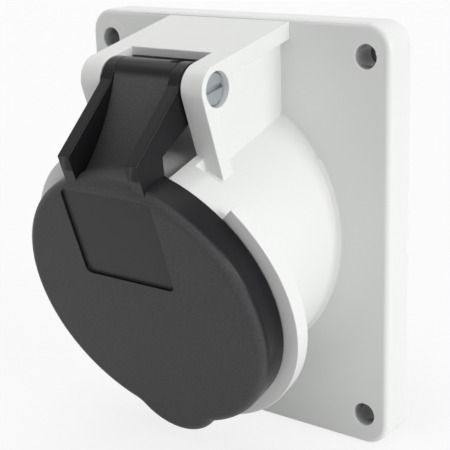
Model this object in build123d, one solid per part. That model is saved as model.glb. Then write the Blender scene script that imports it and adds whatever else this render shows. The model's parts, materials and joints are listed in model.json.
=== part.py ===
from build123d import *
import os
from math import acos, atan2, cos, degrees, hypot, pi, radians, sin, sqrt

os.makedirs("parts", exist_ok=True)

# Panel-mounted industrial socket, 16 A, 3 poles and earth, with a sprung hinged lid.
# Millimetres. +X right, +Z up, the socket faces -Y. The origin lies on the panel face,
# in the middle of the four screw holes of the flange.

# Flange
flange_w = 75.0
flange_h = 85.0
flange_t = 7.65
flange_corner = 5.0
flange_edge = 1.1
flange_wall = 3.2
flange_skin = 2.5
bolt_inset_x = 5.3
bolt_inset_z = 6.25
bolt_hole_r = 2.35
bolt_boss_r = 5.2
gasket_t = 1.5
gasket_lip = 1.3
gasket_band = 8.2
gasket_play = 0.1
gasket_clear = 0.3

# Socket axis: the middle of the front rim, and how far the axis dips towards the front
rim_y = -31.1
rim_z = -8.15
tilt = 18.3

# Barrel of the housing, measured along the axis from the rim backwards
barrel_r = 26.2
barrel_wall = 1.7
collar_h = 2.0
collar_len = 6.3
ring_h = 5.6
ring_t = 3.4
ring_start = 46.6
ring_full = 68.0
ring_thin = 1.4
ring_end = 330.0
recess_depth = 40.0
tube_wall = 1.5
tube_over = 1.0
base_t = 5.0
key_w = 5.6
key_depth = 0.9
root_bevel = 0.8

# Hinge bracket: two ears under a sloping roof
hinge_out = 9.258
hinge_back = 13.429
nose_r = 4.6
ear_in = 10.0
ear_t = 5.1
ear_border = 3.3
ear_recess = 2.2
ear_foot_z = 12.0
roof_drop = 0.5
roof_t = 1.7
notch_y = -25.4
cheek_w = 1.6

# Hinge pin and its retaining ring
pin_r = 2.0
pin_fit = 0.05
lid_pin_fit = 0.08
head_r = 3.2
head_t = 1.7
head_edge = 0.35
head_sink = 1.0
head_gap = 0.15
slot_w = 0.95
slot_depth = 1.0
slot_lean = 11.4
pin_end = 2.0
groove_depth = 0.45
clip_r = 3.4
clip_t = 0.6
clip_pocket_r = 3.8
clip_play = 0.15

# Lid, measured along the axis from the rim forwards
lid_gap = 0.2
lid_over = 2.6
lid_front = 7.0
lid_edge = 2.1
lid_skin = 2.4
lid_cavity_inset = 1.1
seal_inset = 0.3
seal_w = 2.5
seal_t = 2.3
seal_play = 0.08
label_left = -11.8
label_right = 10.8
label_low = 5.9
label_high = 25.2
label_depth = 0.6
label_corner = 1.4
tab_reach = 3.3
tab_round = 11.5
tab_blend = 4.0

# Side walls of the lid's arm and the web between them
arm_play = 0.25
rib_t = 2.8
rib_root_inset = 3.4
rib_tip_reach = 3.7
rib_tip_n = 6.5
rib_edge = 0.45
ridge_dist = 3.7
heel_reach = 1.6
heel_n = -0.7
heel_root_inset = 1.6
web_t = 2.0
web_sag = 1.45
web_top_angle = 32.7
web_foot_inset = 1.4
web_foot_n = 4.6
web_roll = 3.5
shell_t = 1.0
shell_play = 0.03
shell_end_angle = -95.0
leg_slot_angle = -3.0

# Lid spring, wound from square wire
wire_t = 0.8
coil_r = 2.75
coil_len = 11.0
coil_turns = 8
coil_play = 0.2
stop_leg = 5.4

# Contacts, on a circle round the axis; hours are read from the front, key at six
hours = {"pe": 7, "l1": 10, "l2": 1, "l3": 4}
pitch_r = 11.5
carrier_gap = 4.3
carrier_edge = 0.8
carrier_sink = 7.5
carrier_fit = 0.1
contact_sink = 9.5
contact_fit = 0.05
pole_pin_r = 2.5
earth_pin_r = 3.5
pin_play = 0.06
entry_play = 0.25
contact_wall = 1.3
contact_depth = 26.0
contact_slit_w = 0.7
contact_slit_len = 15.0
clip_wire = 0.5
clip_w = 1.8
clip_slit = 1.0
clip_depth = 2.5
clip_room = 0.35
collar_step = 0.9
collar_t = 2.0
guide_len = 6.0
seal_groove_w = 1.6
seal_groove_depth = 1.6

# Terminals and the rear block that covers them
body_w = 9.4
body_len = 12.5
screw_shift = 0.5
body_play = 0.15
wire_hole_r = 2.2
wire_hole_end = 2.5
wire_hole_shift = 0.5
wire_funnel = 0.6
clamp_screw_r = 1.6
clamp_screw_len = 4.6
clamp_head_r = 2.9
clamp_head_t = 2.0
clamp_open = 0.15
clamp_access_r = 3.3
block_step = 5.8
block_edge = 1.0
block_rim_t = 3.0
block_wall = 1.6
lug_hours = {"left": 10.5, "right": 4.5}
lug_reach = 1.7
lug_r = 3.3
lug_len = 9.0
lug_screw_r = 1.25
lug_screw_end = 2.5
lug_hole_end = 1.5
lug_head_r = 2.6
lug_head_t = 1.8
lug_hole_play = 0.35
thread_play = 0.05
driver_w = 0.9
driver_len = 3.2
driver_depth = 1.0

c, s = cos(radians(tilt)), sin(radians(tilt))
# Frame of the socket: origin in the middle of the rim, z out of the mouth, y up along the rim
mouth = Plane(origin=(0, rim_y, rim_z), x_dir=(1, 0, 0), z_dir=(0, -c, -s))
out_of_mouth = Axis(origin=(0, rim_y, rim_z), direction=(0, -c, -s))
# Side view of the same frame: x is up along the rim, y is out of the mouth, z is to the right
side = Plane(origin=(0, rim_y, rim_z), x_dir=(0, -s, c), z_dir=(1, 0, 0))
up = (Align.CENTER, Align.CENTER, Align.MIN)

bore_r = barrel_r - barrel_wall
collar_r = barrel_r + collar_h
ring_r = barrel_r + ring_h
lid_r = barrel_r + lid_over
tube_r = barrel_r + tube_over
seat_r = tube_r - tube_wall
carrier_r = bore_r - carrier_gap
block_r = tube_r - block_step
lug_place = tube_r + lug_reach


def to_side(y, z):
    """Turns a point given by its y and z in the part's frame into the side view's frame."""
    dy, dz = y - rim_y, z - rim_z
    return (-s * dy + c * dz, -c * dy - s * dz)


def from_side(u, n):
    """Turns a point of the side view's frame into its y and z in the part's frame."""
    return (rim_y - s * u - c * n, rim_z + c * u - s * n)


def rod(r, n0, n1, x=0.0, u=0.0):
    """Cylinder along the socket axis between two heights, at a place on the rim plane."""
    low, high = sorted((n0, n1))
    return mouth.location * (Pos(x, u, low) * Cylinder(r, high - low, align=up))


def tube(r_in, r_out, n0, n1, x=0.0, u=0.0):
    low, high = sorted((n0, n1))
    return rod(r_out, low, high, x, u) - rod(r_in, low - 1, high + 1, x, u)


def block(x0, x1, u0, u1, n0, n1):
    """Box in the socket's frame."""
    middle = Pos((x0 + x1) / 2, (u0 + u1) / 2, (n0 + n1) / 2)
    return mouth.location * (middle * Box(abs(x1 - x0), abs(u1 - u0), abs(n1 - n0)))


def slab(face, x0, x1):
    """Side-view outline given a thickness between two x values."""
    return extrude(side.offset(min(x0, x1)) * face, amount=abs(x1 - x0))


def outline(*points):
    return make_face(Polyline(*points, close=True))


def fan(centre, start, end, reach):
    """Face between two directions from a point, in degrees from the first axis of its plane."""
    steps = int(abs(end - start) / 30) + 1
    turns = [radians(start + (end - start) * k / steps) for k in range(steps + 1)]
    return outline(centre, *[(centre[0] + reach * cos(a), centre[1] + reach * sin(a)) for a in turns])


def wedge(start, end, n0, n1):
    """Wedge round the axis between two angles, clockwise from the top as seen from the front."""
    low, high = sorted((n0, n1))
    face = fan((0, 0), 90 - start, 90 - end, 2 * ring_r)
    return mouth.location * (Pos(0, 0, low) * extrude(face, amount=high - low, dir=(0, 0, 1)))


def to_hour(hour):
    """Takes what is drawn at twelve o'clock in the rim's frame to an hour, read from the front."""
    return mouth.location * Rot(0, 0, -30 * hour)


def lug_rod(r, n0, n1):
    """Cylinder at a screw lug's place, drawn at twelve o'clock."""
    return Pos(0, lug_place, min(n0, n1)) * Cylinder(r, abs(n1 - n0), align=up)


def lug(hour, u0, n0, n1):
    """Screw lug that stands out from the rear tube, solid from a distance off the axis outwards."""
    neck = Pos(0, (u0 + lug_place) / 2, min(n0, n1)) * Box(2 * lug_r, lug_place - u0, abs(n1 - n0), align=up)
    return to_hour(hour) * (lug_rod(lug_r, n0, n1) + neck)


def cross_rod(r, x0, x1, at):
    """Cylinder along X through a point of the side view."""
    return slab(Pos(at[0], at[1]) * Circle(r), x0, x1)


def touch(p, centre, r, turn):
    """Point where the line from p touches a circle; turn picks the side."""
    dx, dy = p[0] - centre[0], p[1] - centre[1]
    a = atan2(dy, dx) + turn * acos(r / hypot(dx, dy))
    return (centre[0] + r * cos(a), centre[1] + r * sin(a))


def flange_plate(inset, y_front, y_back):
    """Plate with the flange's outline, drawn in by an inset, between two y values."""
    shape = RectangleRounded(flange_w - 2 * inset, flange_h - 2 * inset, max(flange_corner - inset, 0.6))
    return extrude(Plane(origin=(0, y_back, 0), x_dir=(1, 0, 0), z_dir=(0, -1, 0)) * shape,
                   amount=y_back - y_front)


def bolt_rod(r, x, z, y_front, y_back):
    return Pos(x, (y_front + y_back) / 2, z) * Rot(90, 0, 0) * Cylinder(r, y_back - y_front)


def in_front_of(y):
    return Pos(0, y - 100, 0) * Box(200, 200, 200)


def behind(y):
    return Pos(0, y + 100, 0) * Box(200, 200, 200)


pin = (lid_r + hinge_out, -hinge_back)
hinge_y, hinge_z = from_side(*pin)
ear_out = ear_in + ear_t
base_n = -recess_depth
block_n = base_n - base_t
inner_y = flange_skin - flange_t
bolt_x, bolt_z = flange_w / 2 - bolt_inset_x, flange_h / 2 - bolt_inset_z
bolts = [(sx * bolt_x, sz * bolt_z) for sx in (-1, 1) for sz in (-1, 1)]

# Housing: hollow-backed flange with four screw bosses
plate = flange_plate(0, -flange_t, 0)
plate = fillet(plate.faces().sort_by(Axis.Y)[0].edges(), flange_edge)
hollow = flange_plate(flange_wall, inner_y, 1)
rear_tube = rod(tube_r, -10, block_n) & behind(inner_y)
for x, z in bolts:
    hollow -= bolt_rod(bolt_boss_r, x, z, -flange_t, 2)
plate -= hollow - rear_tube
plate -= flange_plate(gasket_lip, -gasket_t, 1)

# Housing: barrel with a bevelled root on the flange, and the rear tube
body = plate + (rod(barrel_r, 0, base_n) & in_front_of(0))
root = [e for e in body.edges() if e.geom_type != GeomType.LINE and e.bounding_box().size.Y < 0.01
        and abs(e.bounding_box().min.Y + flange_t) < 0.01 and e.bounding_box().size.X > 1.5 * barrel_r]
body = chamfer(root, root_bevel) + rear_tube

# Housing: collar at the rim, open between the ears, and the raised ring with its ramped start
collar = tube(barrel_r - 0.5, collar_r, -collar_len, 0)
collar -= block(-ear_in, ear_in, 5, 2 * collar_r, -collar_len - 1, 1)
ring = tube(barrel_r - 0.5, ring_r, -ring_t, 0)
ramp_mid = (ring_start + ring_full) / 2
ramp_len = 2 * ring_r * sin(radians(ring_full - ring_start) / 2)
ramp_slope = degrees(atan2(ring_t - ring_thin, ramp_len))
ramp = mouth.location * (Rot(0, 0, -ramp_mid) * Pos(0, ring_r, -(ring_t + ring_thin) / 2) * Rot(
    0, ramp_slope, 0) * Pos(0, 0, 10) * Box(40, 20, 20))
body += collar
body += ring & wedge(ring_full, ring_end, -ring_t - 1, 1)
body += ring & wedge(ring_start, ring_full, -ring_t - 1, 1) & ramp

# Housing: roof line from the flange's top edge to the nose of the hinge
roof_back_z = flange_h / 2 - roof_drop + 0.5
nose = touch((inner_y, roof_back_z), (hinge_y, hinge_z), nose_r, 1)
roof_slope = (nose[1] - roof_back_z) / (nose[0] - inner_y)


def roof_z(y, drop=0.0):
    """Height of the roof at a y of the part's frame, on the upper face or a drop below it."""
    return roof_back_z + (y - inner_y) * roof_slope - drop * hypot(1, roof_slope)


# Housing: two ears with a sunk panel on the outside, a cheek at each foot, and the roof between
leg_n = pin[1] + nose_r
ear_low_u = 16.0
ear_foot = to_side(inner_y, ear_foot_z)
ear_face = outline(to_side(inner_y, roof_back_z), to_side(*nose), pin, (pin[0], leg_n), (ear_low_u, leg_n),
                   (ear_low_u, ear_foot[1]), ear_foot)
ear_face += Pos(*pin) * Circle(nose_r)
corner_n = leg_n - ear_border
panel_back = to_side(inner_y, roof_z(inner_y, ear_border))
panel_line = to_side(hinge_y, roof_z(hinge_y, ear_border))
share = (corner_n - panel_back[1]) / (panel_line[1] - panel_back[1])
panel_top = (panel_back[0] + share * (panel_line[0] - panel_back[0]), corner_n)
panel_low_u = ear_low_u - 1
panel_face = outline(panel_back, panel_top, (panel_low_u, corner_n), (panel_low_u, ear_foot[1] - 1), ear_foot)
panel_face -= Pos(*pin) * Circle(nose_r)
for sign in (-1, 1):
    ear = slab(ear_face, sign * ear_in, sign * ear_out)
    ear -= slab(panel_face, sign * (ear_out - ear_recess), sign * (ear_out + 1))
    body += (ear - rod(bore_r + 0.5, 1, base_n - 20)) & in_front_of(inner_y)
    cheek = tube(barrel_r - 0.5, collar_r, leg_n - 0.2, -collar_len + 0.2)
    body += cheek & block(sign * ear_in, sign * (ear_in + cheek_w), 5, 2 * collar_r, leg_n - 0.2, 0)
roof_face = outline(to_side(inner_y, roof_z(inner_y)), to_side(notch_y, roof_z(notch_y)),
                    to_side(notch_y, roof_z(notch_y, roof_t)), to_side(inner_y, roof_z(inner_y, roof_t)))
body += slab(roof_face, -ear_in, ear_in)

# Housing: rear seat and lugs for the terminal block, then all the holes
for hour in lug_hours.values():
    body += lug(hour, tube_r - 1, block_n, block_n + lug_len) & behind(inner_y - 0.1)
    body -= to_hour(hour) * lug_rod(lug_screw_r + thread_play, block_n - 1, block_n + lug_len - lug_hole_end)
body -= rod(bore_r, 1, base_n)
body -= rod(seat_r, base_n, block_n - 1)
body -= block(-key_w / 2, key_w / 2, -bore_r - key_depth, -bore_r + 3, base_n, 1)
body -= cross_rod(pin_r + pin_fit, -2 * ear_out, 2 * ear_out, pin)
body -= cross_rod(head_r + head_gap, ear_out - head_sink - head_t, 2 * ear_out, pin)
body -= cross_rod(clip_pocket_r, -2 * ear_out, -ear_out + head_sink + head_t, pin)
for x, z in bolts:
    body -= bolt_rod(bolt_hole_r, x, z, -2 * flange_t, flange_t)
housing = body

# Gasket under the flange
gasket = flange_plate(gasket_lip + gasket_play, -gasket_t, 0)
gasket -= flange_plate(gasket_lip + gasket_band, -gasket_t - 1, 1) + rod(tube_r + gasket_clear, block_n, 0)
for x, z in bolts:
    gasket -= bolt_rod(bolt_hole_r, x, z, -flange_t, flange_t)

# Lid: round cap that swells into a thumb tab at the bottom, with a rolled front edge all round
cap_face = Circle(lid_r) + Pos(0, tab_round - lid_r - tab_reach) * Circle(tab_round)
cap = extrude(Pos(0, 0, lid_gap) * cap_face, amount=lid_front - lid_gap)
cap = fillet(cap.edges().filter_by(Axis.Z).group_by(Axis.Y)[0], tab_blend)
cap = mouth.location * fillet(cap.faces().sort_by(Axis.Z)[-1].edges(), lid_edge)

# Lid: sunk label field
label = Pos((label_left + label_right) / 2, (label_low + label_high) / 2, lid_front - label_depth) * Box(
    label_right - label_left, label_high - label_low, 4, align=up)
cap -= mouth.location * fillet(label.edges().filter_by(Axis.Z), label_corner)

# Lid: two side walls that run up into the hinge knuckles
arm_out = ear_in - arm_play
arm_in = arm_out - rib_t
tip = (lid_r + rib_tip_reach, rib_tip_n)
heel = (lid_r + heel_reach, heel_n)
rib_root_u = lid_r - rib_root_inset
ridge = touch(tip, pin, ridge_dist, -1)
wall_face = outline((rib_root_u, rib_tip_n), tip, ridge, pin, touch(heel, pin, nose_r, 1), heel,
                    (lid_r - heel_root_inset, lid_gap), (rib_root_u, lid_gap))
ridge_dir = (ridge[0] - tip[0], ridge[1] - tip[1])
for sign in (-1, 1):
    wall = slab(wall_face, sign * arm_in, sign * arm_out)
    crest = [e for e in wall.edges() if e.geom_type == GeomType.LINE and e.length > ear_in
             and abs(e.length - hypot(*ridge_dir)) < 0.01]
    cap += fillet(crest, rib_edge) + cross_rod(nose_r, sign * arm_in, sign * arm_out, pin)

# Lid: concave web between the side walls, running out over the hinge as a thin shell
shell_out = nose_r - shell_play
top_at = (pin[0] + shell_out * cos(radians(web_top_angle)), pin[1] + shell_out * sin(radians(web_top_angle)))
foot_at = (lid_r - web_foot_inset, web_foot_n)
chord = hypot(top_at[0] - foot_at[0], top_at[1] - foot_at[1])
web_r = (chord / 2) ** 2 / (2 * web_sag) + web_sag / 2
away = ((foot_at[1] - top_at[1]) / chord, (top_at[0] - foot_at[0]) / chord)
web_mid = ((top_at[0] + foot_at[0]) / 2, (top_at[1] + foot_at[1]) / 2)
web_centre = (web_mid[0] + (web_r - web_sag) * away[0], web_mid[1] + (web_r - web_sag) * away[1])


def on_web(p, depth):
    """Point as deep as given behind the web's face, on the line from the web's centre through p."""
    dx, dy = p[0] - web_centre[0], p[1] - web_centre[1]
    k = (web_r + depth) / hypot(dx, dy)
    return (web_centre[0] + k * dx, web_centre[1] + k * dy)


web_edge = Wire([
    Edge.make_three_point_arc(*[Vector(*on_web(p, 0)) for p in (top_at, web_mid, foot_at)]),
    Edge.make_line(on_web(foot_at, 0), on_web(foot_at, web_t)),
    Edge.make_three_point_arc(*[Vector(*on_web(p, web_t)) for p in (foot_at, web_mid, top_at)]),
    Edge.make_line(on_web(top_at, web_t), on_web(top_at, 0))])
shell_face = Pos(*pin) * (Circle(shell_out) - Circle(shell_out - shell_t))
skin_face = make_face(web_edge) + (shell_face & fan(pin, shell_end_angle, web_top_angle, 3 * nose_r))
skin_face = fillet(skin_face.vertices().sort_by_distance(Vector(*top_at))[0], web_roll)
skin = slab(skin_face, -arm_in - 0.2, arm_in + 0.2)
cap += skin - slab(fan(pin, shell_end_angle - 10, leg_slot_angle, 3 * nose_r), coil_len / 2 - wire_t, arm_in)
cap -= cross_rod(coil_r + wire_t / 2 + coil_play, -arm_in, arm_in, pin)
cap -= cross_rod(pin_r + lid_pin_fit, -2 * ear_out, 2 * ear_out, pin)
seal_in = bore_r + seal_inset
seal_out = seal_in + seal_w
cap -= rod(bore_r - lid_cavity_inset, lid_gap - 3, lid_front - lid_skin)
cap -= tube(seal_in, seal_out, lid_gap - 3, lid_gap + seal_t)
lid = cap

# Seal pressed into the lid's groove; it stands just clear of the rim when the lid is shut
lid_seal = tube(seal_in, seal_out, seal_play, lid_gap + seal_t)

# Hinge pin with a slotted head sunk in the right ear and a retaining ring at the left
head_x = ear_out - head_sink
ring_x = -ear_out + head_sink + head_t
head = cross_rod(head_r, head_x - head_t, head_x, pin)
hinge_pin = cross_rod(pin_r, ring_x - pin_end, head_x - head_t, pin)
hinge_pin += chamfer(head.faces().sort_by(Axis.X)[-1].edges(), head_edge)
driver_slot = Pos(*pin) * Rot(0, 0, slot_lean - 90 - tilt) * Rectangle(3 * head_r, slot_w)
hinge_pin -= slab(driver_slot, head_x - slot_depth, head_x + 1)
groove_face = Pos(*pin) * (Circle(pin_r + 1) - Circle(pin_r - groove_depth))
hinge_pin -= slab(groove_face, ring_x - clip_play - clip_t - 0.02, ring_x - clip_play + 0.02)
clip_in = pin_r - groove_depth + 0.03
clip_mouth = Pos(-clip_r, 0) * Rectangle(2 * clip_r, 2 * clip_in)
clip_face = Pos(*pin) * (Circle(clip_r) - Circle(clip_in) - clip_mouth)
pin_clip = slab(clip_face, ring_x - clip_play - clip_t, ring_x - clip_play)


# Torsion spring round the pin: one leg presses on the lid's web, the other on the roof
def leg(target, turn):
    """Angle round the pin where a leg that ends at the target leaves the coil, and the leg's length."""
    dx, dy = target[0] - pin[0], target[1] - pin[1]
    d = hypot(dx, dy)
    return atan2(dy, dx) + turn * acos(coil_r / d), sqrt(d * d - coil_r * coil_r)


stop_y = notch_y + stop_leg
start_angle, start_leg = leg(on_web(web_mid, web_t + wire_t / 2), 1)
end_angle, end_leg = leg(to_side(stop_y, roof_z(stop_y, roof_t + wire_t / 2 + 0.05)), -1)
turns = coil_turns + 1 + (end_angle - start_angle) / (2 * pi)
helix = Helix(pitch=coil_len / turns, height=coil_len, radius=coil_r)
wire = Rectangle(wire_t, wire_t)
coil = sweep(Plane(helix @ 0, x_dir=(1, 0, 0), z_dir=helix % 0) * wire, path=helix, is_frenet=True)
for end, away_dir, reach in ((0, -(helix % 0), start_leg), (1, helix % 1, end_leg)):
    at = helix @ end
    coil += extrude(Plane(at, x_dir=(at.X, at.Y, 0), z_dir=away_dir) * wire, amount=reach)
lid_spring = side.location * Pos(pin[0], pin[1], -coil_len / 2) * Rot(0, 0, degrees(start_angle)) * coil

# Contact carrier: base that seats in the housing, and the core that stands inside a plug
places = {name: (pitch_r * sin(radians(30 * h)), pitch_r * cos(radians(30 * h))) for name, h in hours.items()}
core_n = -carrier_sink
guide_n = base_n + guide_len
seal_mid = base_n - base_t / 2


def pin_radius(name):
    return earth_pin_r if name == "pe" else pole_pin_r


def contact_radius(name):
    return pin_radius(name) + pin_play + contact_wall


carrier = rod(seat_r - carrier_fit, block_n, base_n - 0.05)
carrier += chamfer(rod(carrier_r, base_n - 1, core_n).faces().sort_by(out_of_mouth)[-1].edges(), carrier_edge)
groove_half = seal_groove_w / 2
groove_r = seat_r - seal_groove_depth
carrier -= tube(groove_r, seat_r + 1, seal_mid - groove_half, seal_mid + groove_half)
for name, (x, u) in places.items():
    outer = contact_radius(name)
    entry = pin_radius(name) + entry_play
    carrier -= rod(entry, core_n - 5, core_n + 2, x, u)
    carrier -= rod(outer + clip_wire + clip_room, guide_n, entry_play / 2 - contact_sink, x, u)
    carrier -= rod(outer + contact_fit, block_n - 1, guide_n + 1, x, u)
    carrier -= rod(outer + collar_step + contact_fit, block_n - 1, block_n + collar_t + 0.02, x, u)
seal_half = groove_half - carrier_fit
carrier_seal = tube(groove_r + carrier_fit, seat_r - carrier_fit, seal_mid - seal_half, seal_mid + seal_half)

# Each contact: slit tube, collar, and the terminal with its wire hole and screw thread,
# drawn at twelve o'clock and turned to its hour
parts = {}
body_back = block_n - carrier_fit - body_len
screw_n = body_back + body_len / 2 - screw_shift
pole, wire_pole = Pos(0, pitch_r, 0), Pos(0, pitch_r + wire_hole_shift, 0)
terminal_cuts = []
for name, hour in hours.items():
    turn = to_hour(hour)
    outer = contact_radius(name)
    inner = outer - contact_wall
    contact = pole * Pos(0, 0, block_n) * Cylinder(outer, -contact_sink - block_n, align=up)
    contact -= pole * Pos(0, 0, -contact_sink - contact_depth) * Cylinder(inner, 2 * contact_depth, align=up)
    contact -= pole * Pos(0, 0, -contact_sink - contact_slit_len) * Box(
        contact_slit_w, 4 * outer, 2 * contact_slit_len, align=up)
    contact += pole * Pos(0, 0, block_n) * Cylinder(outer + collar_step, collar_t, align=up)
    contact += pole * Pos(0, 0, body_back) * Box(body_w, body_w, body_len + carrier_fit, align=up)
    contact -= wire_pole * Pos(0, 0, body_back - 1) * Cylinder(
        wire_hole_r, body_len + 1 - wire_hole_end, align=up)
    contact -= Pos(0, pitch_r, screw_n) * Rot(-90, 0, 0) * Cylinder(
        clamp_screw_r + thread_play, body_w, align=up)
    parts["contact_" + name] = turn * contact

    clip = Cylinder(outer + clip_wire, clip_w) - Cylinder(outer + 0.02, 2 * clip_w)
    clip -= Pos(outer, 0, 0) * Box(2 * outer, clip_slit, 2 * clip_w)
    parts["contact_ring_" + name] = turn * (pole * Pos(0, 0, -contact_sink - clip_depth) * clip)

    screw_tip = Pos(0, pitch_r + wire_hole_shift + wire_hole_r + clamp_open, screw_n) * Rot(-90, 0, 0)
    screw = screw_tip * Cylinder(clamp_screw_r, clamp_screw_len, align=up)
    screw += screw_tip * Pos(0, 0, clamp_screw_len) * Cylinder(clamp_head_r, clamp_head_t, align=up)
    screw -= screw_tip * Pos(0, 0, clamp_screw_len + clamp_head_t - driver_depth) * Box(
        3 * clamp_head_r, driver_w, 2 * driver_depth, align=up)
    parts["terminal_screw_" + name] = turn * screw

    room = body_w + 2 * body_play
    chamber = Pos(0, pitch_r, body_back - body_play) * Box(room, room, body_len + 20, align=up)
    chamber += wire_pole * Pos(0, 0, body_back - 4 * block_wall) * Cylinder(
        wire_hole_r + wire_funnel, body_len, align=up)
    chamber += Pos(0, pitch_r, screw_n) * Rot(-90, 0, 0) * Cylinder(clamp_access_r, 2 * block_r, align=up)
    terminal_cuts.append(turn * chamber)

# Rear terminal block: flange with two lugs, and a body with one chamber for each contact
block_back = body_back - body_play - block_wall
terminal = rod(tube_r, block_n - block_rim_t, block_n)
for hour in lug_hours.values():
    terminal += lug(hour, block_r, block_n - block_rim_t, block_n)
terminal += fillet(rod(block_r, block_back, block_n - 1).faces().sort_by(out_of_mouth)[0].edges(), block_edge)
for cut in terminal_cuts:
    terminal -= cut
head_n = block_n - block_rim_t
for name, hour in lug_hours.items():
    terminal -= to_hour(hour) * lug_rod(lug_screw_r + lug_hole_play, head_n - 1, block_n + 1)
    screw = lug_rod(lug_head_r, head_n - lug_head_t, head_n)
    screw += lug_rod(lug_screw_r, head_n - 0.5, block_n + lug_len - lug_screw_end)
    for w, h in ((driver_len, driver_w), (driver_w, driver_len)):
        screw -= Pos(0, lug_place, head_n - lug_head_t + driver_depth / 2) * Box(w, h, driver_depth)
    parts["block_screw_" + name] = to_hour(hour) * screw

parts.update(housing=housing, lid=lid, lid_seal=lid_seal, hinge_pin=hinge_pin, pin_clip=pin_clip,
             lid_spring=lid_spring, contact_carrier=carrier, carrier_seal=carrier_seal,
             terminal_block=terminal, flange_gasket=gasket)
for name, shape in parts.items():
    solids = shape.solids()
    export_step(shape if len(solids) > 1 else solids[0], f"parts/{name}.step")
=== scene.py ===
import json
from math import cos, pi, radians, sin

import bmesh
import bpy
from mathutils import Matrix, Vector
from mathutils.bvhtree import BVHTree
from mathutils.geometry import intersect_point_line


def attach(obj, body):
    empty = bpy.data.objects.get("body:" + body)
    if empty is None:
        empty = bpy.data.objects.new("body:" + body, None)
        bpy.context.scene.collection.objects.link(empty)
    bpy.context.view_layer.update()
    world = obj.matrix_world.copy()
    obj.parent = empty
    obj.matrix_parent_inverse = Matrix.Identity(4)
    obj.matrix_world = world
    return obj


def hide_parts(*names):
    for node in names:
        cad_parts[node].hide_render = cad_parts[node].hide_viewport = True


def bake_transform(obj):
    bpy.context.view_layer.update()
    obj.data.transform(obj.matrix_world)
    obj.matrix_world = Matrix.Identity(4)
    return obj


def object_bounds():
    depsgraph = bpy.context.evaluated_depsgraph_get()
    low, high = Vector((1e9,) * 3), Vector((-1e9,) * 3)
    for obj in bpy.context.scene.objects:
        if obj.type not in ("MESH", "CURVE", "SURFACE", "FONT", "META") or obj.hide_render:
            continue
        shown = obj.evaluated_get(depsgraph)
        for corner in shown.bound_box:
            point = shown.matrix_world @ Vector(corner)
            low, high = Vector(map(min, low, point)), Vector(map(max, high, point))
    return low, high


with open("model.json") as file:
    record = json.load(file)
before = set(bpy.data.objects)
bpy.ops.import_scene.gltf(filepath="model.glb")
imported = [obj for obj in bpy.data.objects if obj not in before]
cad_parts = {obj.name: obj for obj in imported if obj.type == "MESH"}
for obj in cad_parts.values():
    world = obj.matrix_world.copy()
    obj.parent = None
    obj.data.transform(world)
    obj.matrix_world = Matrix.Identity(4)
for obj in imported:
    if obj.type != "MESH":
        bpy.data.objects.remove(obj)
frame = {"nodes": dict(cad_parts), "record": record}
cad_low, cad_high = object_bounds()
nodes = frame["nodes"]
mm = 0.001
right_x, back_y, up_z = Vector((1, 0, 0)), Vector((0, 1, 0)), Vector((0, 0, 1))

# Named sizes and places of the part, in millimetres, as in the solids' source or worked out from it
flange_h, flange_t = 85.0, 7.65
hole_x, hole_z, hole_r = 32.2, 36.25, 2.35
rim_y, rim_z, tilt = -31.1, -8.15, radians(18.3)
mouth_up = Vector((0, -sin(tilt), cos(tilt)))
mouth_out = Vector((0, -cos(tilt), -sin(tilt)))
lid_r, lid_front, lid_edge = 28.8, 7.0, 2.1
label_left, label_right, label_low, label_high, label_depth = -11.8, 10.8, 5.9, 25.2, 0.6
arm_in = 6.95
web_end_u = 41.3
pin_u, pin_n = 38.058, -13.429


def on_rim(x, u, n):
    """Point in the part's frame of a place on the lid: across, up along the rim, out of the mouth."""
    return Vector((x, rim_y, rim_z)) * mm + (mouth_up * u + mouth_out * n) * mm


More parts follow.
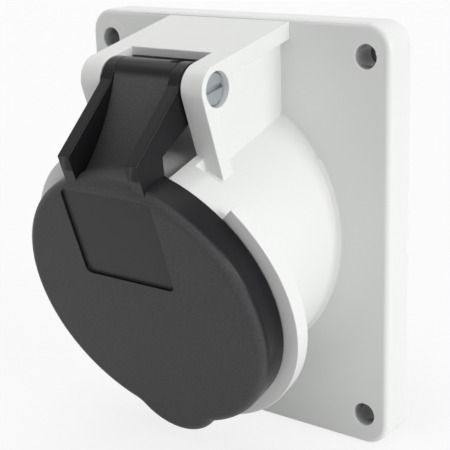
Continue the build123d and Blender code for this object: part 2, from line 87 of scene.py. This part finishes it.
class Shader:
    """Small helper that builds a node material around one Principled shader."""

    def __init__(self, name, **constants):
        self.material = bpy.data.materials.new(name)
        self.material.use_nodes = True
        self.tree = self.material.node_tree
        self.out = self.tree.nodes["Principled BSDF"]
        for key, value in constants.items():
            self.out.inputs[key.replace("_", " ")].default_value = value
        places = self.node("ShaderNodeTexCoord")
        self.place, self.normal = places.outputs["Object"], places.outputs["Normal"]

    def node(self, kind, **settings):
        made = self.tree.nodes.new(kind)
        for key, value in settings.items():
            setattr(made, key, value)
        return made

    def feed(self, socket, source):
        """Links a socket to another node's output, or sets it to a plain value."""
        if isinstance(source, bpy.types.NodeSocket):
            self.tree.links.new(source, socket)
        else:
            socket.default_value = source

    def math(self, operation, a, b=0.0):
        made = self.node("ShaderNodeMath", operation=operation)
        self.feed(made.inputs[0], a)
        self.feed(made.inputs[1], b)
        return made.outputs[0]

    def noise(self, size, detail=2.0):
        """Noise whose grains are about as large as given, in metres."""
        made = self.node("ShaderNodeTexNoise")
        made.inputs["Scale"].default_value = 1 / size
        made.inputs["Detail"].default_value = detail
        self.feed(made.inputs["Vector"], self.place)
        return made.outputs["Fac"]

    def clouds(self, size):
        """Slow noise without fine detail, for changes of tone and gloss over a piece."""
        return self.noise(size, 1.0)

    def between(self, factor, low, high):
        """Number that goes from low to high as the factor goes from 0 to 1."""
        made = self.node("ShaderNodeMapRange")
        self.feed(made.inputs["Value"], factor)
        self.feed(made.inputs["To Min"], low)
        self.feed(made.inputs["To Max"], high)
        return made.outputs[0]

    def blend(self, factor, a, b):
        """Colour that goes from a to b as the factor goes from 0 to 1."""
        made = self.node("ShaderNodeMix", data_type="RGBA")
        self.feed(made.inputs["Factor"], factor)
        self.feed(made.inputs["A"], a)
        self.feed(made.inputs["B"], b)
        return made.outputs["Result"]

    def bump(self, height, depth):
        """Normal of a surface whose height, from 0 to 1, stands for a depth in metres."""
        made = self.node("ShaderNodeBump")
        made.inputs["Strength"].default_value = 1.0
        made.inputs["Distance"].default_value = depth
        self.feed(made.inputs["Height"], height)
        return made.outputs[0]

    def along(self, direction, start=Vector((0, 0, 0)), of=None):
        """How far the place, in metres, or a normal reaches along a direction, counted from a point."""
        made = self.node("ShaderNodeVectorMath", operation="DOT_PRODUCT")
        self.feed(made.inputs[0], of or self.place)
        made.inputs[1].default_value = direction
        return self.math("SUBTRACT", made.outputs["Value"], start.dot(direction))

    def above(self, value, low, high):
        """0 where the value is below low, 1 where it is above high, smooth between them."""
        made = self.node("ShaderNodeMapRange", interpolation_type="SMOOTHSTEP")
        self.feed(made.inputs["Value"], value)
        made.inputs["From Min"].default_value = low
        made.inputs["From Max"].default_value = high
        return made.outputs[0]

    def past(self, distance, start, end):
        """Like above, for a distance whose change starts and ends at these values in millimetres."""
        return self.above(distance, start * mm, end * mm)

    def within(self, distance, low, high, soft):
        """1 where a distance is between two values, with soft ends of this width, in millimetres."""
        begun, ended = self.past(distance, low, low + soft), self.past(distance, high - soft, high)
        return self.both(begun, self.other(ended))

    def both(self, *factors):
        """Product of factors, 1 where all of them are 1."""
        result = factors[0]
        for factor in factors[1:]:
            result = self.math("MULTIPLY", result, factor)
        return result

    def other(self, factor):
        """1 where the factor is 0, and 0 where it is 1."""
        return self.math("SUBTRACT", 1.0, factor)


# Sizes of the slow noises that most materials share, in metres
tone_cloud, gloss_cloud = 25 * mm, 15 * mm


def shade(name, dark, light, rough, grain, depth, **constants):
    """Moulded plastic, rubber or metal: two tones in soft clouds, fine grain given in millimetres."""
    s = Shader(name, **constants)
    rough_spread = 0.03
    clouds = s.clouds(tone_cloud)
    s.feed(s.out.inputs["Base Color"], s.blend(clouds, (*dark, 1), (*light, 1)))
    fine = s.noise(grain * mm)
    gloss = s.between(s.clouds(gloss_cloud), rough - rough_spread, rough + rough_spread)
    s.feed(s.out.inputs["Roughness"], gloss)
    s.feed(s.out.inputs["Normal"], s.bump(fine, depth * mm))
    return s.material


def lid_plastic():
    """Dark plastic: grained on the lid's front and the arm's web, smooth elsewhere, with a darker tone
    painted on the smooth parts for the dark reflections they show.
    """
    s = Shader("lid_plastic", Specular_IOR_Level=0.15)
    middle = on_rim(0, 0, 0)
    facing = s.along(mouth_out, of=s.normal)
    x, u, n = (s.along(d, middle) for d in (right_x, mouth_up, mouth_out))
    beside = s.math("ABSOLUTE", x)
    between_ribs = s.other(s.past(beside, arm_in - 0.3, arm_in - 0.05))

    # Front of the cap with its rolled edge, without the ribs that stand on it
    turned_front = s.above(facing, 0.15, 0.6)
    over_edge = s.past(n, lid_front - lid_edge, lid_front - 1)
    over_cap = s.past(u, lid_r + 0.2, lid_r + 0.8)
    on_rib = s.both(s.other(between_ribs), s.past(n, lid_front + 0.05, lid_front + 0.4))
    front = s.both(turned_front, over_edge, s.other(over_cap), s.other(on_rib))

    # The sunk label field stays smooth, and the web is grained from the cap to its rolled shoulder
    field_soft, web_soft = 0.1, 1.2
    over_floor = s.past(n, lid_front - 0.6 * label_depth, lid_front - 0.2 * label_depth)
    field = s.both(s.within(x, label_left, label_right, field_soft),
                   s.within(u, label_low, label_high, field_soft), s.other(over_floor))
    web = s.both(between_ribs, s.within(u, lid_r - 3, web_end_u + 0.4, web_soft))
    grained = s.both(s.math("MAXIMUM", front, web), s.other(field))

    # Tones: painted light makes the grain lighter high on the web, and painted shade blends it partly into
    # the smooth tone at its foot
    lid_cloud, grain_size, grain_depth = 20 * mm, 0.3 * mm, 0.05 * mm
    foot_shade_share, depth_on_smooth = 0.5, 0.1
    clouds = s.clouds(lid_cloud)
    fine = s.noise(grain_size)
    speckle = s.above(fine, 0.25, 0.75)
    # Painted reflection: the smooth tone is kept darker than the grain, standing in for the dark
    # surroundings that smooth plastic mirrors
    smooth_painted_reflection_tone = s.blend(clouds, (0.0095, 0.0096, 0.0110, 1), (0.0110, 0.0111, 0.0125, 1))
    field_tone = s.blend(clouds, (0.0400, 0.0402, 0.0430, 1), (0.0430, 0.0432, 0.0460, 1))
    front_tone = s.blend(speckle, (0.0500, 0.0505, 0.0530, 1), (0.0740, 0.0745, 0.0775, 1))
    # Painted light: a lighter copy of the grain tone, blended in higher up the web
    painted_light_high_tone = s.blend(speckle, (0.0640, 0.0645, 0.0675, 1), (0.0940, 0.0945, 0.0980, 1))
    grain_and_painted_light_tone = s.blend(s.past(u, lid_r + 4, web_end_u - 2), front_tone, painted_light_high_tone)
    # Painted shade: near the cap's rim the web's grain is blended halfway into the smooth tone
    painted_foot_shade = s.both(s.other(s.past(u, lid_r, lid_r + 5.5)), s.other(s.past(n, 2, 5.5)))
    grain_and_painted_light_tone = s.blend(s.both(painted_foot_shade, foot_shade_share), grain_and_painted_light_tone, smooth_painted_reflection_tone)
    tone = s.blend(grained, s.blend(field, smooth_painted_reflection_tone, field_tone), grain_and_painted_light_tone)
    s.feed(s.out.inputs["Base Color"], tone)

    polished = s.between(s.clouds(gloss_cloud), 0.27, 0.31)
    matt = s.between(fine, 0.42, 0.58)
    s.feed(s.out.inputs["Roughness"], s.between(grained, polished, matt))
    height = s.both(fine, s.between(grained, depth_on_smooth, 1.0))
    s.feed(s.out.inputs["Normal"], s.bump(height, grain_depth))
    return s.material


def housing_plastic():
    """Pale smooth plastic, with painted shade in the screw holes, darker the deeper they go."""
    s = Shader("housing_plastic")
    wave_size, wave_depth = 6 * mm, 0.003 * mm
    s.feed(s.out.inputs["Roughness"], s.between(s.clouds(gloss_cloud), 0.23, 0.29))
    s.feed(s.out.inputs["Normal"], s.bump(s.noise(wave_size), wave_depth))
    pale = s.blend(s.clouds(tone_cloud), (0.775, 0.790, 0.775, 1), (0.805, 0.815, 0.800, 1))

    # The holes lie mirrored to both sides, so the distance is taken from the axis on the place's side
    x, z = s.along(right_x), s.along(up_z)
    beside = s.math("SUBTRACT", x, s.math("MULTIPLY", s.math("SIGN", x), hole_x * mm))
    over = s.math("SUBTRACT", s.math("ABSOLUTE", z), hole_z * mm)
    from_axis = s.math("SQRT", s.math("ADD", s.both(beside, beside), s.both(over, over)))
    # Painted shade: the walls of the screw holes are darkened towards black the deeper they go
    depth = s.math("ADD", s.along(back_y), flange_t * mm)
    start, inside, shade_darkest_depth = 0.2, 0.6, 0.6 * flange_t
    past_wall = s.past(from_axis, hole_r + 0.05, hole_r + 0.15)
    hole_shade_mask = s.both(s.other(past_wall), s.past(depth, start, inside))
    painted_hole_shade = s.blend(s.past(depth, start, shade_darkest_depth), (0.60, 0.61, 0.60, 1), (0.02, 0.02, 0.02, 1))
    s.feed(s.out.inputs["Base Color"], s.blend(hole_shade_mask, pale, painted_hole_shade))
    return s.material


materials = {
    "grey_housing_plastic": housing_plastic(),
    "dark_lid_plastic": lid_plastic(),
    "black_seal_rubber": shade("seal_rubber", (0.016, 0.016, 0.017), (0.024, 0.024, 0.025),
                               rough=0.75, grain=0.25, depth=0.02),
    "black_carrier_plastic": shade("carrier_plastic", (0.022, 0.022, 0.024), (0.032, 0.032, 0.034),
                                   rough=0.45, grain=0.3, depth=0.01),
    "grey_block_plastic": shade("block_plastic", (0.34, 0.35, 0.36), (0.38, 0.39, 0.40),
                                rough=0.5, grain=0.3, depth=0.012),
    "zinc_plated_steel": shade("zinc_plating", (0.42, 0.46, 0.50), (0.56, 0.60, 0.64),
                               rough=0.34, grain=0.2, depth=0.006, Metallic=1.0),
    "spring_steel": shade("spring_wire", (0.42, 0.42, 0.42), (0.56, 0.56, 0.56),
                          rough=0.3, grain=0.2, depth=0.004, Metallic=1.0),
    "contact_brass": shade("turned_brass", (0.68, 0.50, 0.20), (0.80, 0.63, 0.30),
                           rough=0.28, grain=0.25, depth=0.004, Metallic=1.0),
}
slot_of = {part["node"]: part["material_slot"] for part in frame["record"]["subparts"]}
bodies = frame["record"]["behaviour"]["bodies"]
body_of = {node: body for body, members in bodies.items() for node in members}


def dress(obj, slot_name):
    """Gives an object the one material of a slot."""
    obj.data.materials.clear()
    obj.data.materials.append(materials[slot_name])


def smooth_shaded(mesh):
    for face in mesh.polygons:
        face.use_smooth = True


# Rounding of sharp edges: which edges count as sharp, and how much of the room beside them it takes
sharp_angle, flat_angle = radians(40), radians(0.5)
same_place = 0.002 * mm
room_share = 0.4
nearly_along = 0.9
segments, tries = 3, 4


def lies_beside(place, start, end, reach):
    """Whether a place lies within reach of an edge or of its line just past an end."""
    overrun = 0.2
    nearest, share = intersect_point_line(place, start, end)
    return (nearest - place).length < reach and -overrun < share < 1 + overrun


def room_beside(edge):
    """Lengths of the edges that lead away from either end of an edge, apart from those in its line."""
    start, end = edge.verts
    along = (end.co - start.co).normalized()
    lengths = []
    for corner in edge.verts:
        for other in corner.link_edges:
            direction = (other.verts[1].co - other.verts[0].co).normalized()
            if other is not edge and abs(direction.dot(along)) < nearly_along:
                lengths.append(other.calc_length())
    return lengths


def rounded_mesh(source, radius, hollows, left_sharp):
    """Mesh with each sharp edge marked for rounding, unless it is short or lies near a place left sharp."""
    work = bmesh.new()
    work.from_mesh(source)
    bmesh.ops.remove_doubles(work, verts=work.verts, dist=same_place)
    bmesh.ops.dissolve_limit(work, angle_limit=flat_angle, verts=work.verts, edges=work.edges)
    weights = work.edges.layers.float.new("bevel_weight_edge")
    for edge in work.edges:
        start, end = (v.co for v in edge.verts)
        if len(edge.link_faces) != 2 or edge.calc_face_angle(0) < sharp_angle:
            continue
        edge.smooth = False
        if edge.calc_length() < radius or not (hollows or edge.is_convex):
            continue
        if any(lies_beside(place, start, end, 2 * radius) for place in left_sharp):
            continue
        edge[weights] = min(1.0, room_share * min(room_beside(edge), default=radius) / radius)
        edge.smooth = True
    mesh = bpy.data.meshes.new(source.name + "_soft")
    work.to_mesh(mesh)
    work.free()
    smooth_shaded(mesh)
    return mesh


def turned_over(obj, surface, radius):
    """Middles of the small faces of a rounded piece that lie against the surface they came from."""
    most_corners, smallest_area, reach, least_cosine = 8, (0.03 * mm) ** 2, 1.3 * radius, 0.2
    shown = obj.evaluated_get(bpy.context.evaluated_depsgraph_get()).to_mesh()
    found = []
    for face in shown.polygons:
        if len(face.vertices) <= most_corners and face.area > smallest_area:
            near = surface.find_nearest_range(face.center, reach)
            if near and max(normal.dot(face.normal) for place, normal, index, far in near) < least_cosine:
                found.append(face.center.copy())
    return found


def softened(node, radius, hollows):
    """Copy of a node's mesh with its sharp edges rounded, which then stands for the node."""
    source = nodes[node].data
    corners, faces = [v.co for v in source.vertices], [f.vertices[:] for f in source.polygons]
    surface = BVHTree.FromPolygons(corners, faces)
    obj = bpy.data.objects.new(node + "_soft", rounded_mesh(source, radius, hollows, []))
    bpy.context.collection.objects.link(obj)
    bevel = obj.modifiers.new("rounding", "BEVEL")
    bevel.limit_method = "WEIGHT"
    bevel.width = radius
    bevel.segments = segments
    bevel.use_clamp_overlap = False
    bevel.face_strength_mode = "FSTR_ALL"
    left_sharp = []
    for attempt in range(tries):
        bpy.context.view_layer.update()
        wrong = turned_over(obj, surface, radius)
        if not wrong:
            break
        left_sharp += wrong
        obj.data = rounded_mesh(source, radius, hollows, left_sharp)
    weighted = obj.modifiers.new("flat faces stay flat", "WEIGHTED_NORMAL")
    weighted.keep_sharp = True
    weighted.use_face_influence = True
    dress(obj, slot_of[node])
    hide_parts(node)
    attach(obj, body_of[node])
    return obj


# Torsion spring of the lid in round wire, with the turns, the start and the legs that the solid has
wire_r, coil_r, coil_len = 0.4, 2.75, 11.0
coil_turns = 7.993
coil_start = radians(203.23)
web_leg, roof_leg = 9.47, 11.02
steps_per_turn, steps_per_leg = 28, 6


def spring_path():
    """Points of the wire's middle line, from the leg on the lid's web to the leg under the roof."""
    def at(angle, share, beyond=0.0):
        round_pin = Vector((cos(angle), sin(angle))) * coil_r + Vector((-sin(angle), cos(angle))) * beyond
        return on_rim(coil_len * (share - 0.5), pin_u + round_pin.x, pin_n + round_pin.y)

    count = round(coil_turns * steps_per_turn)
    turn = 2 * pi * coil_turns
    coil = [at(coil_start + turn * k / count, k / count) for k in range(count + 1)]
    first = [at(coil_start, 0, -web_leg * k / steps_per_leg) for k in range(steps_per_leg, 0, -1)]
    last = [at(coil_start + turn, 1, roof_leg * k / steps_per_leg) for k in range(1, steps_per_leg + 1)]
    return first + coil + last


def wire_mesh(name, path, radius, sides=12):
    """Round wire along a path, with domed ends."""
    # The dome at an end: how far its rings stand out and how wide they are, in radii
    dome = [(0.0, 1.0), (0.35, 0.92), (0.6, 0.7)]
    ends = {0: -1, len(path) - 1: 1}
    around = [2 * pi * j / sides for j in range(sides)]
    work = bmesh.new()
    rings = []
    normal = (path[1] - path[0]).normalized().orthogonal().normalized()
    for k, point in enumerate(path):
        before, after = path[max(k - 1, 0)], path[min(k + 1, len(path) - 1)]
        ahead = (after - before).normalized()
        normal = (normal - ahead * normal.dot(ahead)).normalized()
        across = ahead.cross(normal)
        places = [(0.0, 1.0)]
        if k in ends:
            places = [(ends[k] * far * radius, wide) for far, wide in dome][::ends[k]]
        for far, wide in places:
            middle = point + ahead * far
            rings.append([work.verts.new(middle + (normal * cos(a) + across * sin(a)) * radius * wide)
                          for a in around])
    for one, two in zip(rings, rings[1:]):
        for j in range(sides):
            work.faces.new((one[j], one[(j + 1) % sides], two[(j + 1) % sides], two[j]))
    work.faces.new(rings[0][::-1])
    work.faces.new(rings[-1])
    mesh = bpy.data.meshes.new(name)
    work.to_mesh(mesh)
    work.free()
    smooth_shaded(mesh)
    obj = bpy.data.objects.new(name, mesh)
    bpy.context.collection.objects.link(obj)
    return obj


# The pieces. On the lid only the outer edges are rounded
edge_radius = {"housing": 0.2, "lid": 0.3, "terminal_block": 0.25, "contact_carrier": 0.2,
               "hinge_pin": 0.08}
for name, radius in edge_radius.items():
    softened(name, radius * mm, hollows=name != "lid")
spring = wire_mesh("lid_spring_wire", spring_path(), wire_r * mm)
dress(spring, slot_of["lid_spring"])
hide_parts("lid_spring")
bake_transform(spring)
for name, obj in nodes.items():
    dress(obj, slot_of[name])


def seen_directly(tree):
    """1 for rays from the camera, a gloss or a clear surface, 0 for the rays that light the object."""
    paths = tree.nodes.new("ShaderNodeLightPath")
    result = paths.outputs["Is Camera Ray"]
    for kind in ("Is Glossy Ray", "Is Transmission Ray"):
        wider = tree.nodes.new("ShaderNodeMath")
        wider.operation = "MAXIMUM"
        tree.links.new(result, wider.inputs[0])
        tree.links.new(paths.outputs[kind], wider.inputs[1])
        result = wider.outputs[0]
    return result


def floor_paper():
    """Pale paper that is nearly white where the camera or a gloss looks at it."""
    s = Shader("floor_paper", Roughness=0.9)
    paper_cloud, glow_share = 40 * mm, 0.8
    pale = s.blend(s.noise(paper_cloud), (0.91, 0.91, 0.91, 1), (0.93, 0.93, 0.93, 1))
    s.feed(s.out.inputs["Base Color"], pale)
    glow = s.node("ShaderNodeEmission")
    glow.inputs["Color"].default_value = (1, 1, 1, 1)
    mix = s.node("ShaderNodeMixShader")
    s.feed(mix.inputs[0], s.math("MULTIPLY", seen_directly(s.tree), glow_share))
    s.feed(mix.inputs[1], s.out.outputs[0])
    s.feed(mix.inputs[2], glow.outputs[0])
    s.feed(s.tree.nodes["Material Output"].inputs["Surface"], mix.outputs[0])
    return s.material


# Floor just under the flange
floor_size, floor_squares, floor_gap = 3.0, 4, 0.2 * mm
bpy.ops.mesh.primitive_grid_add(size=floor_size, x_subdivisions=floor_squares, y_subdivisions=floor_squares,
                                location=(0, 0, cad_low[2] - floor_gap))
floor = bpy.context.object
floor.name = "floor"
floor.data.materials.append(floor_paper())


def studio_world(ambient):
    """Plain light from all sides, white where the camera or a gloss looks at it."""
    world = bpy.data.worlds.new("studio")
    world.use_nodes = True
    tree = world.node_tree
    back = tree.nodes["Background"]
    back.inputs["Color"].default_value = (1, 1, 1, 1)
    level = tree.nodes.new("ShaderNodeMapRange")
    level.inputs["To Min"].default_value = ambient
    level.inputs["To Max"].default_value = 1.0
    tree.links.new(seen_directly(tree), level.inputs["Value"])
    tree.links.new(level.outputs[0], back.inputs["Strength"])
    return world


def soft_sun(name, toward_light, energy, wide):
    """Distant lamp as wide as a soft box, in degrees, shining from the direction given."""
    sun = bpy.data.lights.new(name, "SUN")
    sun.energy = energy
    sun.angle = radians(wide)
    lamp = bpy.data.objects.new(name, sun)
    bpy.context.collection.objects.link(lamp)
    lamp.rotation_euler = Vector(toward_light).to_track_quat("Z", "Y").to_euler()


# White studio, key light from the right, a wider one from above, a weak one low in front
bpy.context.scene.world = studio_world(ambient=0.37)
soft_sun("key", (1.0, 0.0, 0.25), energy=1.75, wide=30)
soft_sun("top", (-0.2, 0.0, 1.0), energy=1.2, wide=60)
soft_sun("front", (0.3, -0.85, -0.6), energy=0.22, wide=60)

# Camera at the photograph's angle. Its shifts and distance count the flange's height as 100
azimuth, elevation, roll = radians(38.297), radians(16.216), radians(-1.730)
unit = flange_h / 100 * mm
shift_x, shift_y, distance = 7.4532 * unit, -3.5314 * unit, 295.4797 * unit
focal_px, image_px = 1165.74, 450
toward = Vector((sin(azimuth) * cos(elevation), -cos(azimuth) * cos(elevation), sin(elevation)))
level_x = (-toward).cross(up_z).normalized()
level_y = level_x.cross(-toward)
across = level_x * cos(roll) + level_y * sin(roll)
above = level_y * cos(roll) - level_x * sin(roll)
camera = bpy.data.cameras.new("camera")
camera.sensor_width = 36.0
camera.lens = camera.sensor_width * focal_px / image_px
camera.clip_start = 0.01
camera_object = bpy.data.objects.new("camera", camera)
bpy.context.collection.objects.link(camera_object)
axes = Matrix((across, above, toward)).transposed().to_4x4()
place = toward * distance - across * shift_x + above * shift_y
camera_object.matrix_world = Matrix.Translation(place) @ axes
bpy.context.scene.camera = camera_object
bpy.context.scene.view_settings.view_transform = "Standard"
